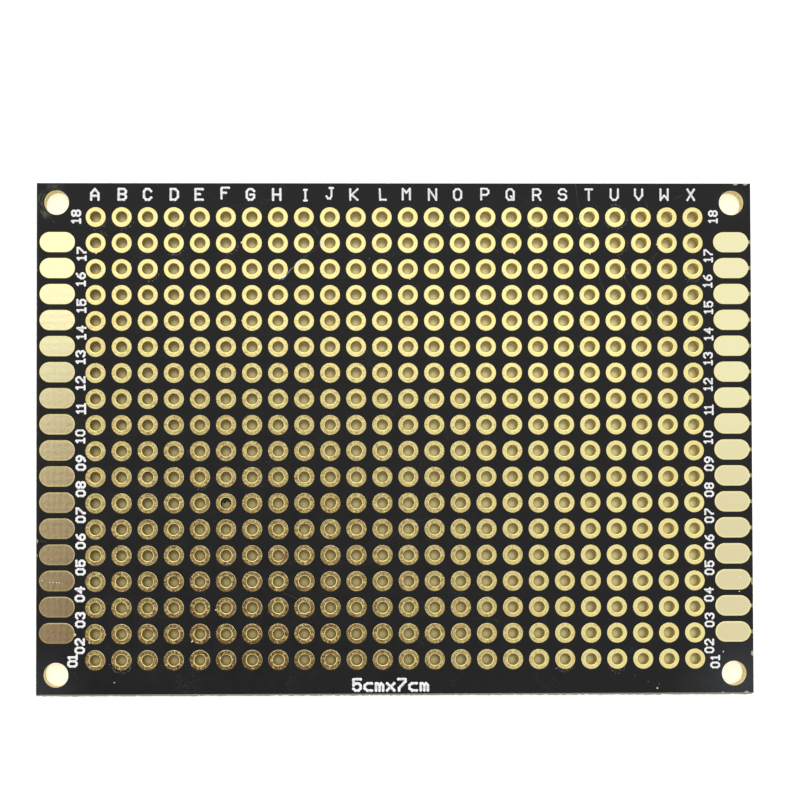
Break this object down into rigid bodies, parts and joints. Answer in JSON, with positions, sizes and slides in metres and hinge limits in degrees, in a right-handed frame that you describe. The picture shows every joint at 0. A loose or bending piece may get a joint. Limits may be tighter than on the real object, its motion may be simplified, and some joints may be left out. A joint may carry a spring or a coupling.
{
  "type": "prototype board",
  "caption": "Flat rectangular prototype board with a grid of gold-plated lead holes in black mask, long solder pads on both short edges and a mounting hole in each corner.",
  "frame": {"origin": "centre of the board on the plane it lies on, the faces of the pads on its back", "axes": "+X along the long side, from the first lettered column to the last; +Y across the rows, towards the edge with the letters; +Z out of the lettered front face"},
  "size_m": [0.07, 0.05, 0.0016],
  "materials": {
    "laminate": "satin",
    "solder_mask": "satin",
    "gold_plating": "satin",
    "legend_ink": "matte"
  },
  "bodies": {
    "root": {"laminate": "laminate", "solder_mask_front": "solder_mask", "solder_mask_back": "solder_mask", "plated_holes_a": "gold_plating", "plated_holes_b": "gold_plating", "plated_holes_c": "gold_plating", "plated_holes_d": "gold_plating", "plated_holes_e": "gold_plating", "plated_holes_f": "gold_plating", "plated_holes_g": "gold_plating", "plated_holes_h": "gold_plating", "plated_holes_i": "gold_plating", "plated_holes_j": "gold_plating", "plated_holes_k": "gold_plating", "plated_holes_l": "gold_plating", "plated_holes_m": "gold_plating", "plated_holes_n": "gold_plating", "plated_holes_o": "gold_plating", "plated_holes_p": "gold_plating", "plated_holes_q": "gold_plating", "plated_holes_r": "gold_plating", "plated_holes_s": "gold_plating", "plated_holes_t": "gold_plating", "plated_holes_u": "gold_plating", "plated_holes_v": "gold_plating", "plated_holes_w": "gold_plating", "plated_holes_x": "gold_plating", "edge_pads_front_left": "gold_plating", "edge_pads_front_right": "gold_plating", "edge_pads_back_left": "gold_plating", "edge_pads_back_right": "gold_plating"}
  },
  "joints": []
}
